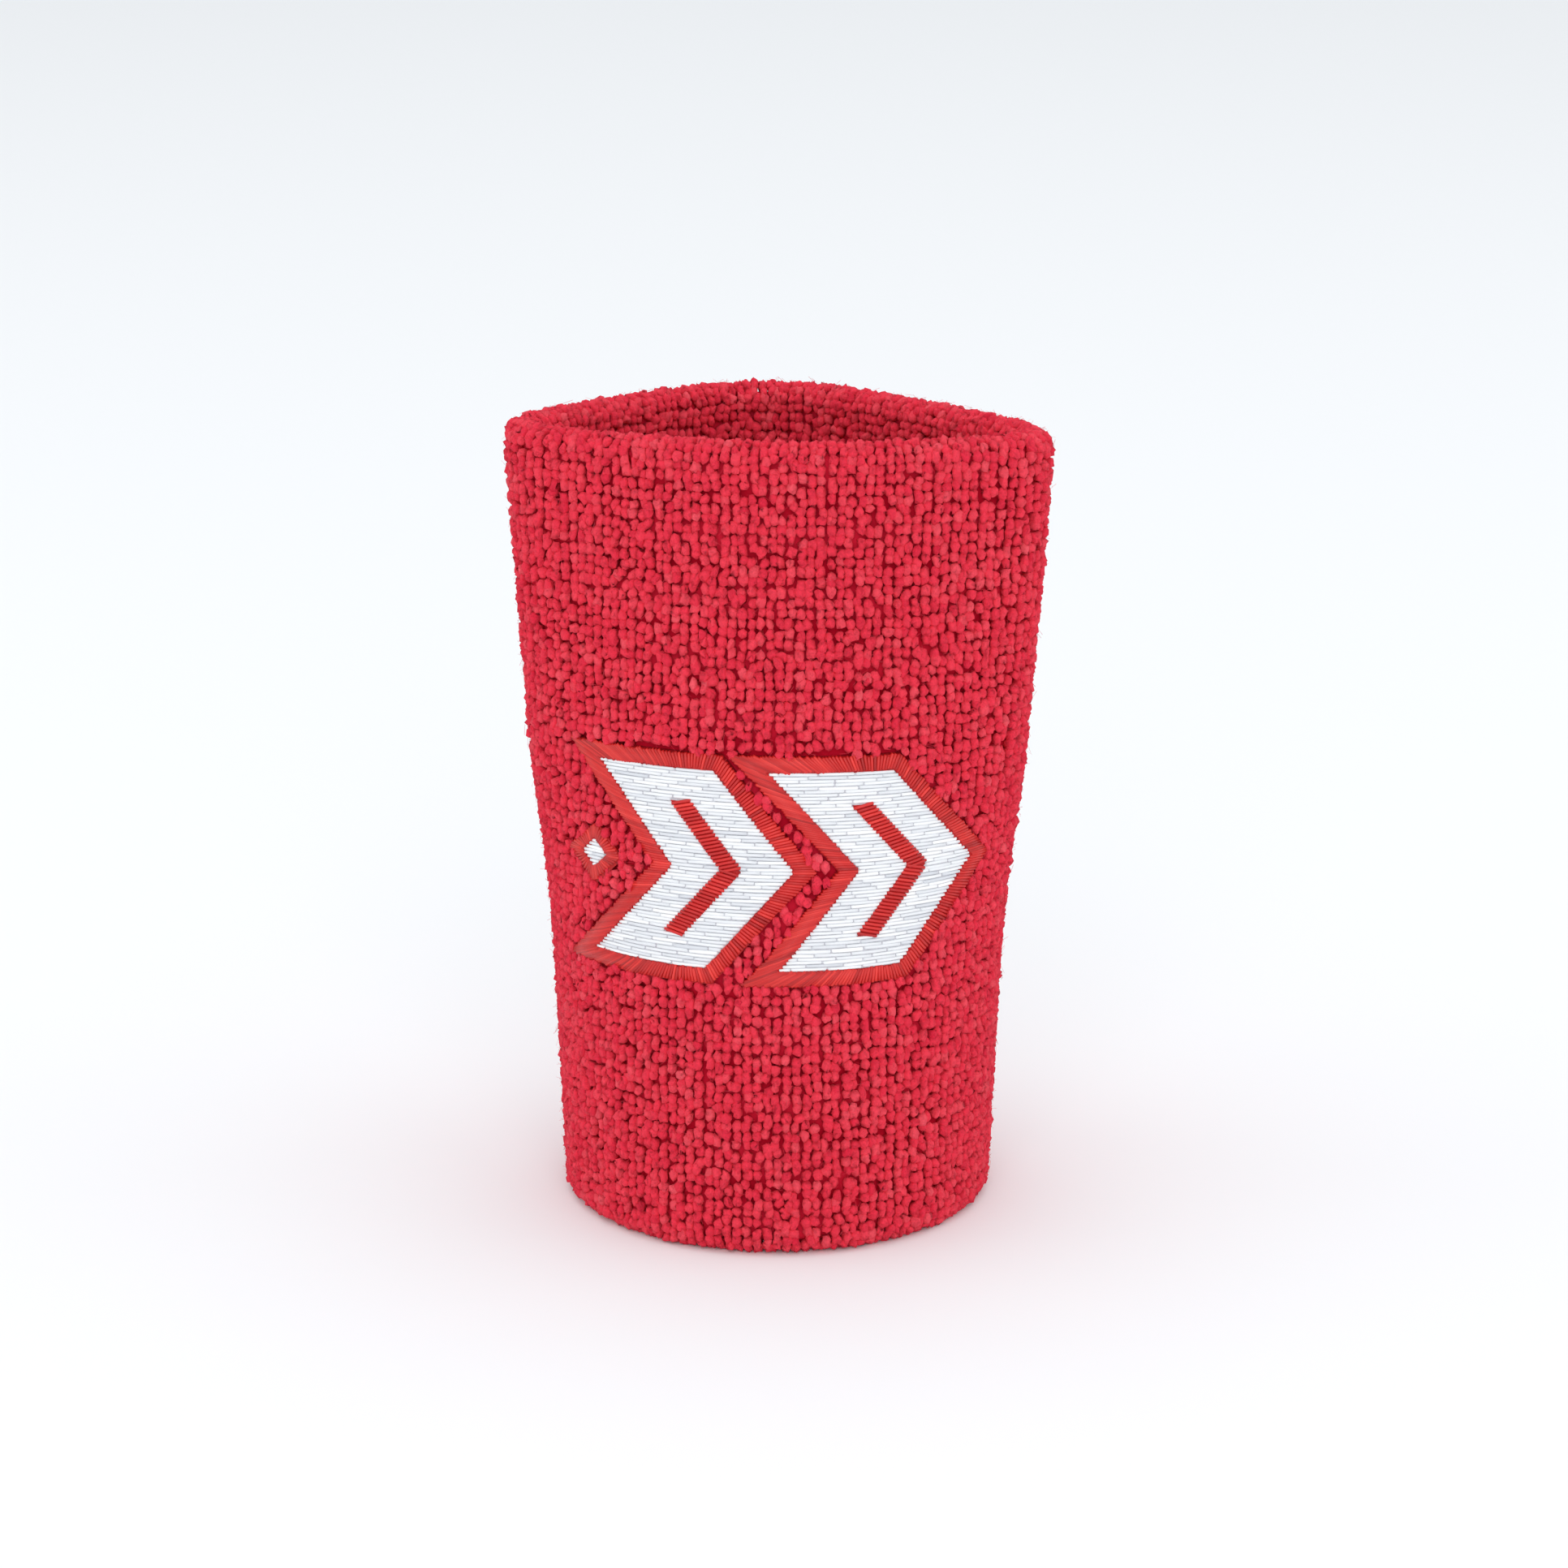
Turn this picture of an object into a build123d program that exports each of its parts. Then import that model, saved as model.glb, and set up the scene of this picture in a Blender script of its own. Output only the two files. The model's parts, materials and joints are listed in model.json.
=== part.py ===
"""Terry wristband: one knitted tube folded into a double wall, with an embroidered emblem on its front.

Millimetres, +Z up. The band stands on its round lower edge and its mouth is pressed into a soft oval.
The embroidered front faces -Y. The origin is under the middle of the band, on the surface it stands on.
"""
from build123d import *
from math import asin, cos, hypot, pi, radians, sin, tan
import os

# Overall sizes
base_diameter = 51.0  # outside of the round lower edge
band_height = 93.5

# Thickness of each layer, from the skin inwards; the two walls share the same pile, knit and elastic
pile_height = 1.45
knit_thickness = 0.45
elastic_thickness = 0.30
backing_thickness = 0.20
bobbin_thickness = 0.10
wall_clearance = 0.10  # air between the bobbin thread and the inner wall

# Rolled edges: how wide the pile lies flat where the band stands, and at the crest of the mouth
standing_flat = 1.92
crest_flat = 1.20

# The mouth: the same ring of cloth pressed into an oval, as shares of the ring's own radius
mouth_width = 1.19
mouth_depth = 0.707
mouth_corner = 0.068
mouth_skew = 0.055
mouth_bulge = 0.145
mouth_gable = 0.052
mouth_twist = 0.122
mouth_setback = 0.037
# How far the wall has turned from the round base (0) to the mouth's oval (1), by share of the height
wall_blend = ((0.0, 0.0), (0.38, 0.20), (0.58, 0.54), (1.0, 1.0))
outline_points = 20

# Knitted-in elastic and the seam that closes the tube
elastic_pitch = 16.0
elastic_width = 0.5
seam_height = 47.0
seam_width = 1.6
seam_depth = 1.0  # how far the linking stitches stand into the inner pile

# Emblem: two chevrons and a small diamond, in cloth sizes
emblem_height = 26.0
emblem_middle = 45.2  # height of its centre line
point_depth = 11.0  # how far a chevron's point leads its tips
chevron_width = 18.6
border_width = 1.8
rib_width = 1.8
rib_height = 15.0
diamond_size = 7.0  # across its points
diamond_border = 1.3
chevron_gap = 2.65  # between the two chevrons, measured across the cloth
emblem_turn = 16.0  # degrees that each chevron is turned away from the front
emblem_recess = 0.40  # depth of the satin's face under the tips of the pile
stitch_depth = 0.55
fill_recess = 0.08  # depth of the filling under the satin's face
backing_margin = 4.0

emblem_spread = (chevron_width + chevron_gap) / 2  # from the front's middle line to each chevron's middle

# Depths of the layers below the outer skin
knit_depth = pile_height
elastic_depth = knit_depth + knit_thickness
backing_depth = elastic_depth + elastic_thickness
bobbin_depth = backing_depth + backing_thickness
inner_elastic_depth = bobbin_depth + bobbin_thickness + wall_clearance
inner_knit_depth = inner_elastic_depth + elastic_thickness
inner_pile_depth = inner_knit_depth + knit_thickness
wall_thickness = inner_pile_depth + pile_height
underlay_depth = emblem_recess + stitch_depth

# The rolled edges are half rings about the middle of the wall
edge_radius = wall_thickness / 2
knit_edge_radius = edge_radius - pile_height
core_edge_radius = knit_edge_radius - knit_thickness
standing_angle = pi / 2 - asin(standing_flat / 2 / edge_radius)
crest_angle = pi / 2 - asin(crest_flat / 2 / edge_radius)
lower_fold = edge_radius * sin(standing_angle)
upper_fold = band_height - edge_radius * sin(crest_angle)
mid_radius = (base_diameter - wall_thickness) / 2


def blend_at(height):
    """Share of the mouth's shape at this height, straight between the listed shares."""
    share = min(max((height - lower_fold) / (upper_fold - lower_fold), 0.0), 1.0)
    for (low, low_blend), (high, high_blend) in zip(wall_blend, wall_blend[1:]):
        if share <= high:
            return low_blend + (high_blend - low_blend) * (share - low) / (high - low)
    return wall_blend[-1][1]


def wall_outline(height, depth):
    """Points round the wall at one height, this far below the outer skin."""
    blend = blend_at(height)
    ring = []
    for step in range(outline_points):
        turn = 2 * pi * step / outline_points
        oval_x = mouth_width * cos(turn) + mouth_corner * cos(3 * turn) - mouth_skew * sin(2 * turn)
        oval_y = mouth_setback + mouth_depth * sin(turn) - mouth_bulge * cos(2 * turn)
        oval_y -= mouth_gable * sin(3 * turn) + mouth_twist * cos(turn)
        ring.append((cos(turn) + blend * (oval_x - cos(turn)), sin(turn) + blend * (oval_y - sin(turn))))
    neighbours = list(zip(ring[-1:] + ring[:-1], ring[1:] + ring[:1]))
    length = sum(hypot(x - before[0], y - before[1]) for (x, y), (before, _) in zip(ring, neighbours))
    ring_length = 2 * outline_points * sin(pi / outline_points)
    scale = mid_radius * ring_length / length
    offset = edge_radius - depth
    points = []
    for (x, y), (before, after) in zip(ring, neighbours):
        along_x = after[0] - before[0]
        along_y = after[1] - before[1]
        along = hypot(along_x, along_y)
        points.append(Vector(x * scale + offset * along_y / along, y * scale - offset * along_x / along, height))
    return points


def stacked(levels):
    """A solid through the wall's outlines at (height, depth) levels."""
    faces = []
    for height, depth in levels:
        outline = Spline(*wall_outline(height, depth), periodic=True)
        faces.append(Face(Wire([outline])))
    return loft(faces, ruled=True)


def core(depth):
    """Everything inside the wall at this depth, from the lower fold to the upper fold."""
    heights = [lower_fold + share * (upper_fold - lower_fold) for share, _ in wall_blend]
    return stacked([(height, depth) for height in heights])


cores = {}


def layer(outer_depth, inner_depth):
    """One tubular layer of the wall."""
    for depth in (outer_depth, inner_depth):
        if depth not in cores:
            cores[depth] = core(depth)
    return cores[outer_depth] - cores[inner_depth]


def slab(low, high):
    """A slab across the whole band between two heights."""
    across = 2 * base_diameter
    return Pos(0, 0, (low + high) / 2) * Box(across, across, high - low)


def half_ring(fold_height, direction, radius, last_angle):
    """A fold's half ring of this radius, closed by a flat at last_angle; direction is 1 up or -1 down."""
    angles = [last_angle * share for share in (0.0, 0.35, 0.7, 1.0)]
    levels = [(fold_height + direction * radius * sin(angle), radius * cos(angle)) for angle in angles]
    outside = stacked([(height, edge_radius - reach) for height, reach in levels])
    inside = stacked([(height, edge_radius + reach) for height, reach in levels])
    return outside - inside


def chevron(back, width, height, depth):
    """A chevron pointing right: its tips start at back, and its point leads them by depth."""
    half = height / 2
    return Polygon(
        (back, -half),
        (back + width, -half),
        (back + width + depth, 0),
        (back + width, half),
        (back, half),
        (back + depth, 0),
        align=None,
    )


def inner_chevron(back, margin):
    """The chevron's field inside a border of this width."""
    slope = point_depth / (emblem_height / 2)
    inset = margin * hypot(1, slope)
    height = emblem_height - 2 * margin
    return chevron(back + inset + slope * margin, chevron_width - 2 * inset, height, slope * height / 2)


def rib_shape(back):
    """A narrow chevron along the middle of the field."""
    slope = point_depth / (emblem_height / 2)
    width = rib_width * hypot(1, slope)
    start = back + (chevron_width - width) / 2 + slope * (emblem_height - rib_height) / 2
    return chevron(start, width, rib_height, slope * rib_height / 2)


def diamond(size):
    """A square standing on its corner, centred in the left chevron's notch."""
    half = size / 2
    middle = chevron_back + diamond_size / 2
    return Polygon((middle - half, 0), (middle, -half), (middle + half, 0), (middle, half), align=None)


def through_wall(shape, side):
    """A shape in cloth sizes pushed out through the front wall; side is -1 for the left, 1 for the right."""
    start = emblem_spread - emblem_reach * tan(radians(emblem_turn))
    facing = Plane(origin=(side * start, 0, emblem_middle), x_dir=(1, 0, 0), z_dir=(0, -1, 0))
    return extrude(facing.rotated((0, 0, side * emblem_turn)) * shape, amount=base_diameter)


# How far in front of the band's middle the wall is at the emblem's centre line
emblem_reach = -min(point.Y for point in wall_outline(emblem_middle, edge_radius))

# Each chevron is laid out about its own middle, where its facing direction meets the wall
chevron_span = chevron_width + point_depth
chevron_back = -chevron_span / 2
sides = {"left": -1, "right": 1}
chevron_shape = chevron(chevron_back, chevron_width, emblem_height, point_depth)
outlines = {name: through_wall(chevron_shape, side) for name, side in sides.items()}
diamond_outline = through_wall(diamond(diamond_size), sides["left"])
emblem_cut = outlines["left"] + outlines["right"] + diamond_outline

nodes = {}

# Outer wall
nodes["outer_terry_pile"] = layer(0, knit_depth) - emblem_cut
nodes["outer_knit_base"] = layer(knit_depth, elastic_depth)

# Inner wall, in two lengths that meet at the joining seam
seam_slab = slab(seam_height - seam_width / 2, seam_height + seam_width / 2)
lower_slab = slab(0, seam_height - seam_width / 2)
upper_slab = slab(seam_height + seam_width / 2, band_height)
inner_knit = layer(inner_knit_depth, inner_pile_depth)
inner_pile = layer(inner_pile_depth, wall_thickness)
nodes["inner_knit_base_lower"] = inner_knit & lower_slab
nodes["inner_knit_base_upper"] = inner_knit & upper_slab
nodes["inner_terry_pile_lower"] = inner_pile & lower_slab
nodes["inner_terry_pile_upper"] = inner_pile & upper_slab
nodes["joining_seam_thread"] = layer(inner_knit_depth, inner_pile_depth + seam_depth) & seam_slab

# Rolled edges
for edge, fold, direction, last_angle in (
    ("top", upper_fold, 1, crest_angle),
    ("bottom", lower_fold, -1, standing_angle),
):
    pile_ring = half_ring(fold, direction, edge_radius, last_angle)
    knit_ring = half_ring(fold, direction, knit_edge_radius, last_angle)
    core_ring = half_ring(fold, direction, core_edge_radius, last_angle)
    nodes[f"{edge}_edge_pile"] = pile_ring - knit_ring
    nodes[f"{edge}_edge_knit"] = knit_ring - core_ring

# Elastic yarns on the hidden side of each wall
elastic_count = int((upper_fold - lower_fold) / elastic_pitch)
first_yarn = (lower_fold + upper_fold - (elastic_count - 1) * elastic_pitch) / 2
yarn_slabs = [slab(first_yarn + row * elastic_pitch - elastic_width / 2,
                   first_yarn + row * elastic_pitch + elastic_width / 2) for row in range(elastic_count)]
nodes["outer_elastic_yarns"] = layer(elastic_depth, backing_depth) & Compound(yarn_slabs)
nodes["inner_elastic_yarns"] = layer(inner_elastic_depth, inner_knit_depth) & Compound(yarn_slabs)

# Embroidery, outside and behind the outer wall
backing_height = emblem_height + 2 * backing_margin
backing_shape = Rectangle(chevron_span + 2 * backing_margin, backing_height)
backing_cut = through_wall(backing_shape, sides["left"]) + through_wall(backing_shape, sides["right"])
nodes["embroidery_backing"] = layer(backing_depth, bobbin_depth) & backing_cut
nodes["bobbin_thread"] = layer(bobbin_depth, bobbin_depth + bobbin_thickness) & emblem_cut
nodes["pressed_pile_underlay"] = layer(underlay_depth, knit_depth) & emblem_cut
satin_layer = layer(emblem_recess, underlay_depth)
fill_layer = layer(emblem_recess + fill_recess, underlay_depth)
for name, side in sides.items():
    field = through_wall(inner_chevron(chevron_back, border_width), side)
    rib = through_wall(rib_shape(chevron_back), side)
    nodes[f"{name}_chevron_border"] = (satin_layer & outlines[name]) - field
    nodes[f"{name}_chevron_rib"] = satin_layer & rib
    nodes[f"{name}_chevron_fill"] = (fill_layer & field) - rib
eye = through_wall(diamond(diamond_size - 2 * diamond_border * 2 ** 0.5), sides["left"])
nodes["diamond_border"] = (satin_layer & diamond_outline) - eye
nodes["diamond_fill"] = fill_layer & eye

os.makedirs("parts", exist_ok=True)
for name, shape in nodes.items():
    export_step(Compound(shape.solids(), label=name), f"parts/{name}.step")
    print(name, len(shape.solids()), round(shape.volume, 1))
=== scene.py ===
"""Looks of the terry wristband: loop pile, knitted cloth, embroidery, and a pale stage.

Metres, +Z up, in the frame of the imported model. The embroidered front faces -Y.
"""
import json
import math

import bpy
import numpy as np
from bpy.props import FloatProperty, FloatVectorProperty, IntProperty, PointerProperty
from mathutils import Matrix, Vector
from mathutils.bvhtree import BVHTree

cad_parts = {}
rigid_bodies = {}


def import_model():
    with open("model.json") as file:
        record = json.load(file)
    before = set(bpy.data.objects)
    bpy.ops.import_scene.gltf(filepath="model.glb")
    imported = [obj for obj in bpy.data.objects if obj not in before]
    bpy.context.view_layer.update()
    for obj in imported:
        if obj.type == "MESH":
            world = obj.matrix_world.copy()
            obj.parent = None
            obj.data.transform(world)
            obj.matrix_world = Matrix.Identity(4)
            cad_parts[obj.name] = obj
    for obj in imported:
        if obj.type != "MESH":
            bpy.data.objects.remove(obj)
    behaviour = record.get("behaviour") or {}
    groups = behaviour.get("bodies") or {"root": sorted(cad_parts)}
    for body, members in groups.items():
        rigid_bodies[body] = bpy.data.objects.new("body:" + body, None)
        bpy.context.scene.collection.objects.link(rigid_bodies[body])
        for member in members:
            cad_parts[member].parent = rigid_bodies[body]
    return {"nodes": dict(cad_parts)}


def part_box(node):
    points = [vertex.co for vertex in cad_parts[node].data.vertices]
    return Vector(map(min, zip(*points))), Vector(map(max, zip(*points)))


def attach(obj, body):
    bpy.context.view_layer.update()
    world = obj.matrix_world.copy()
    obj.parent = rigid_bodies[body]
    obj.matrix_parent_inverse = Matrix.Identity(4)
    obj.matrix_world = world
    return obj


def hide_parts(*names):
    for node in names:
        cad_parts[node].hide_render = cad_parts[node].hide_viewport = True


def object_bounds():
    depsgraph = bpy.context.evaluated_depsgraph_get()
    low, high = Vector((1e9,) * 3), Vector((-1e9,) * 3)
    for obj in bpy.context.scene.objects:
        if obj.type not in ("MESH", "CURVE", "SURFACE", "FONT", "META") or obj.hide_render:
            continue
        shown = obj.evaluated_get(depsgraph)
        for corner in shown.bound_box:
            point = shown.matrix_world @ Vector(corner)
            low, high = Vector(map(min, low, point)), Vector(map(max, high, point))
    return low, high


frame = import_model()
CAD_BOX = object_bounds()

bl_info = {
    "name": "Terry wristband",
    "version": (1, 0, 0),
    "blender": (4, 5, 0),
    "location": "View3D > Sidebar > Wristband",
    "description": "Knits the pile, sews the emblem and sets the stage of a terry wristband",
    "category": "Object",
}

MM = 0.001
BODY = "root"
SEED = 11
FOLD_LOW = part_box("outer_knit_base")[0][2]
FOLD_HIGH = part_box("outer_knit_base")[1][2]
EMBLEM_LOW, EMBLEM_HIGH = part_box("left_chevron_border")
EMBLEM_MIDDLE = (EMBLEM_LOW[2] + EMBLEM_HIGH[2]) / 2
EMBLEM_HALF = (EMBLEM_HIGH[2] - EMBLEM_LOW[2]) / 2
SEAM_LOW, SEAM_HIGH = (corner[2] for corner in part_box("joining_seam_thread"))
SIDES = {"left": -1, "right": 1}
# Embroidery thread as sewn: its width and height, and how high its middle lies at its needle holes
# and between them, over the knit
FILL_THREAD = (0.39 * MM, 0.32 * MM, 0.74 * MM, 1.02 * MM)
SATIN_THREAD = (0.38 * MM, 0.36 * MM, 0.74 * MM, 1.08 * MM)


# Colour and shader helpers

def linear(hex_colour):
    """An sRGB hex colour as linear red, green, blue and alpha."""
    parts = [int(hex_colour[i:i + 2], 16) / 255 for i in (1, 3, 5)]
    return tuple(c / 12.92 if c <= 0.04045 else ((c + 0.055) / 1.055) ** 2.4 for c in parts) + (1.0,)


def add_node(tree, kind, links=(), inputs=None, **settings):
    """Adds a node with its properties, its input values and its links from other nodes' outputs."""
    node = tree.nodes.new(kind)
    for name, value in settings.items():
        setattr(node, name, value)
    for name, value in (inputs or {}).items():
        node.inputs[name].default_value = value
    for socket, source in links:
        tree.links.new(source, node.inputs[socket])
    return node


def new_material(name, rough, specular):
    """A node material with its roughness and specular level, and its tree and surface shader."""
    material = bpy.data.materials.new(name)
    material.use_nodes = True
    shader = material.node_tree.nodes["Principled BSDF"]
    shader.inputs["Roughness"].default_value = rough
    shader.inputs["Specular IOR Level"].default_value = specular
    return material, material.node_tree, shader


def colour_ramp(tree, source, stops):
    """A ramp through (place, colour) stops."""
    ramp = add_node(tree, "ShaderNodeValToRGB", [("Fac", source)])
    elements = ramp.color_ramp.elements
    while len(elements) < len(stops):
        elements.new(0.5)
    for element, (place, colour) in zip(elements, stops):
        element.position = place
        element.color = colour
    return ramp


def noise(tree, place, size_mm, detail=3.0, roughness=0.6):
    """A noise whose features are about size_mm across."""
    return add_node(tree, "ShaderNodeTexNoise", [("Vector", place.outputs["Object"])],
                    {"Scale": 1 / (size_mm * MM), "Detail": detail, "Roughness": roughness})


def bump(tree, height, strength, depth_mm, under=None):
    """A bump of this depth, over another bump if one is given."""
    links = [("Height", height)]
    if under:
        links.append(("Normal", under.outputs["Normal"]))
    return add_node(tree, "ShaderNodeBump", links, {"Strength": strength, "Distance": depth_mm * MM})


def cotton_pile(name, settings):
    """Combed cotton loops, piece-dyed: matt, soft at grazing angles, and no two loops the same red."""
    material, tree, shader = new_material(name, 0.92, 0.25)
    tint = add_node(tree, "ShaderNodeAttribute", attribute_name="loop_tint")
    stops = [(0.0, settings.pile_deep), (0.5, settings.pile_colour), (1.0, settings.pile_light)]
    ramp = colour_ramp(tree, tint.outputs["Fac"], stops)
    place = add_node(tree, "ShaderNodeTexCoord")
    # The spun yarn is uneven over half a millimetre, and its fibres over a tenth
    yarn = noise(tree, place, 0.5, 4.0, 0.7)
    fuzz = noise(tree, place, 0.12, 2.0)
    shade = add_node(tree, "ShaderNodeMapRange", [("Value", yarn.outputs["Fac"])],
                     {"From Min": 0.3, "From Max": 0.7, "To Min": 0.88, "To Max": 1.1})
    tinted = add_node(tree, "ShaderNodeVectorMath",
                      [(0, ramp.outputs["Color"]), ("Scale", shade.outputs["Result"])], operation="SCALE")
    yarn_bump = bump(tree, yarn.outputs["Fac"], 0.9, 0.5)
    fuzz_bump = bump(tree, fuzz.outputs["Fac"], 0.7, 0.1, yarn_bump)
    tree.links.new(tinted.outputs["Vector"], shader.inputs["Base Color"])
    tree.links.new(fuzz_bump.outputs["Normal"], shader.inputs["Normal"])
    shader.inputs["Sheen Weight"].default_value = 0.35
    shader.inputs["Sheen Roughness"].default_value = 0.5
    shader.inputs["Sheen Tint"].default_value = settings.pile_light
    return material


def knitted_ground(name, settings):
    """Plain knitted cotton ground: soft bands round it, its red darkened as painted shade between the loops
    that cover it.
    """
    material, tree, shader = new_material(name, 0.95, 0.15)
    place = add_node(tree, "ShaderNodeTexCoord")
    # The wave turns through 20 radians a metre at scale 1, so one band is about six courses high
    courses = add_node(tree, "ShaderNodeTexWave", [("Vector", place.outputs["Object"])],
                       {"Scale": 1 / (20 * settings.course_pitch), "Distortion": 3.0}, bands_direction="Z")
    # Painted shade: the ground's red is darker than the loops' so that the gaps between them look shaded
    stops = [(0.0, settings.ground_with_painted_shade), (1.0, settings.pile_deep)]
    ramp = colour_ramp(tree, courses.outputs["Fac"], stops)
    knit_bump = bump(tree, courses.outputs["Fac"], 0.6, 0.2)
    tree.links.new(ramp.outputs["Color"], shader.inputs["Base Color"])
    tree.links.new(knit_bump.outputs["Normal"], shader.inputs["Normal"])
    return material


def embroidery_thread(name, dark, mid, light, rough):
    """Trilobal polyester thread, two-ply twisted: smooth and bright along each stitch."""
    material, tree, shader = new_material(name, rough, 0.45)
    tint = add_node(tree, "ShaderNodeAttribute", attribute_name="loop_tint")
    ramp = colour_ramp(tree, tint.outputs["Fac"], [(0.0, dark), (0.5, mid), (1.0, light)])
    place = add_node(tree, "ShaderNodeTexCoord")
    # Filaments 0.02 mm across are too fine to show, so they are drawn several times as coarse
    filaments = noise(tree, place, 0.12, 2.0)
    thread_bump = bump(tree, filaments.outputs["Fac"], 0.3, 0.04)
    tree.links.new(ramp.outputs["Color"], shader.inputs["Base Color"])
    tree.links.new(thread_bump.outputs["Normal"], shader.inputs["Normal"])
    return material


def plain_fibre(name, dark, light, grain_mm, rough):
    """Fibrous goods seen edge on or not at all: an uneven grain and a matt face."""
    material, tree, shader = new_material(name, rough, 0.3)
    place = add_node(tree, "ShaderNodeTexCoord")
    grain = noise(tree, place, grain_mm)
    ramp = colour_ramp(tree, grain.outputs["Fac"], [(0.3, dark), (0.7, light)])
    grain_bump = bump(tree, grain.outputs["Fac"], 0.5, 0.1)
    tree.links.new(ramp.outputs["Color"], shader.inputs["Base Color"])
    tree.links.new(grain_bump.outputs["Normal"], shader.inputs["Normal"])
    return material


# The cloth's surface, read from the frame

def node_surface(name):
    """A search tree over a node's mesh."""
    mesh = frame["nodes"][name].data
    corners = [v.co.copy() for v in mesh.vertices]
    return BVHTree.FromPolygons(corners, [list(p.vertices) for p in mesh.polygons])


class Cloth:
    """The middle of the folded wall, as rings of evenly spaced points, each with its outward direction."""

    turns = 240
    levels = 46
    soft_rows = 4

    def __init__(self, half_knit):
        """half_knit is the distance from the middle of the wall to the outer face of its knit."""
        self.half_knit = half_knit
        self.skin = node_surface("outer_knit_base")
        edge = (FOLD_HIGH - FOLD_LOW) / self.levels / 20
        self.heights = np.linspace(FOLD_LOW + edge, FOLD_HIGH - edge, self.levels)
        angles = np.linspace(0, 2 * math.pi, self.turns, endpoint=False)
        reach = 2 * CAD_BOX[1][0]
        radii = np.zeros((self.levels, self.turns))
        for row, height in enumerate(self.heights):
            for column, angle in enumerate(angles):
                outward = Vector((math.cos(angle), math.sin(angle), 0))
                hit = self.skin.ray_cast(outward * reach + Vector((0, 0, height)), -outward)[0]
                if hit is None:
                    raise RuntimeError(f"the knit has no wall at height {height:.4f}")
                radii[row, column] = math.hypot(hit.x, hit.y)
        radii = self.softened(radii)
        outside = np.stack([radii * np.cos(angles), radii * np.sin(angles)], -1)
        middle = outside - self.outward(outside) * half_knit
        self.rings = np.stack([self.even_ring(ring) for ring in middle])
        self.normals = self.outward(self.rings)

    def softened(self, table):
        """The wall's slope changes softly from one height to the next, as cloth's does."""
        rows = self.soft_rows
        held = np.concatenate([np.repeat(table[:1], rows, 0), table, np.repeat(table[-1:], rows, 0)])
        weights = np.hanning(2 * rows + 3)[1:-1]
        weights /= weights.sum()
        return np.stack([np.convolve(column, weights, "valid") for column in held.T], 1)

    def even_ring(self, ring):
        """The ring with evenly spaced points, starting at the back."""
        start = int(np.argmin(np.abs(np.arctan2(ring[:, 0], ring[:, 1]))))
        ring = np.roll(ring, -start, 0)
        closed = np.concatenate([ring, ring[:1]])
        along = np.concatenate([[0], np.cumsum(np.hypot(*np.diff(closed, axis=0).T))])
        want = np.linspace(0, along[-1], self.turns, endpoint=False)
        return np.stack([np.interp(want, along, closed[:, axis]) for axis in (0, 1)], 1)

    @staticmethod
    def outward(rings):
        """Unit directions out of the ring, square to its run."""
        along = np.roll(rings, -1, -2) - np.roll(rings, 1, -2)
        normal = np.stack([along[..., 1], -along[..., 0]], -1)
        return normal / np.linalg.norm(normal, axis=-1, keepdims=True)

    def sample(self, table, turn, height):
        """Values of a table at arrays of turn (0 to 1 round from the back) and height."""
        row = np.interp(height, self.heights, np.arange(self.levels))
        low_row = np.clip(row.astype(int), 0, self.levels - 2)
        up = (row - low_row)[:, None]
        column = (turn % 1.0) * self.turns
        first = column.astype(int) % self.turns
        second = (first + 1) % self.turns
        across = (column - np.floor(column))[:, None]
        low = table[low_row, first] * (1 - across) + table[low_row, second] * across
        high = table[low_row + 1, first] * (1 - across) + table[low_row + 1, second] * across
        return low * (1 - up) + high * up

    def place(self, turn, height, roll):
        """Origins and axes (round, along, outward) on the knit's face.

        roll is 0 on the outer wall, a quarter turn at the top fold's crest and a half turn on the inner wall.
        """
        middle = self.sample(self.rings, turn, height)
        out = self.sample(self.normals, turn, height)
        out /= np.linalg.norm(out, axis=1, keepdims=True)
        zero = np.zeros_like(height)
        out = np.column_stack([out, zero])
        up = np.column_stack([zero, zero, zero + 1])
        round_axis = np.cross(up, out)
        cosine, sine = np.cos(roll)[:, None], np.sin(roll)[:, None]
        face = out * cosine + up * sine
        along = up * cosine - out * sine
        origin = np.column_stack([middle, height]) + face * self.half_knit
        return origin, np.stack([round_axis, along, face], 1)


# Meshes

def paint(piece, material):
    """Gives a piece or a node of the frame this material alone."""
    piece.data.materials.clear()
    piece.data.materials.append(material)


def finish_piece(piece, material, *stands_for):
    """Gives a piece its material, its body and the nodes that it stands for."""
    paint(piece, material)
    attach(piece, BODY)
    if stands_for:
        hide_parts(*stands_for)


def mesh_piece(name, corners, faces, tints=None):
    """A smooth-shaded piece from arrays of corners and equal-sided faces, with a tint at each corner."""
    mesh = bpy.data.meshes.new(name)
    mesh.vertices.add(len(corners))
    mesh.vertices.foreach_set("co", np.ascontiguousarray(corners, dtype=np.float32).ravel())
    mesh.loops.add(faces.size)
    mesh.loops.foreach_set("vertex_index", faces.ravel().astype(np.int32))
    mesh.polygons.add(len(faces))
    starts = np.arange(len(faces)) * faces.shape[1]
    mesh.polygons.foreach_set("loop_start", starts.astype(np.int32))
    mesh.polygons.foreach_set("use_smooth", np.ones(len(faces), dtype=bool))
    mesh.update(calc_edges=True)
    mesh.validate()
    if tints is not None:
        layer = mesh.attributes.new("loop_tint", "FLOAT", "POINT")
        layer.data.foreach_set("value", tints.astype(np.float32))
    piece = bpy.data.objects.new(name, mesh)
    bpy.context.collection.objects.link(piece)
    return piece


def triangles_of(piece):
    """Corners and triangles of a modelled pattern piece, which is then removed."""
    mesh = piece.data
    mesh.calc_loop_triangles()
    corners = np.array([v.co[:] for v in mesh.vertices])
    faces = np.array([t.vertices[:] for t in mesh.loop_triangles])
    bpy.data.objects.remove(piece)
    return corners, faces


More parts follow.
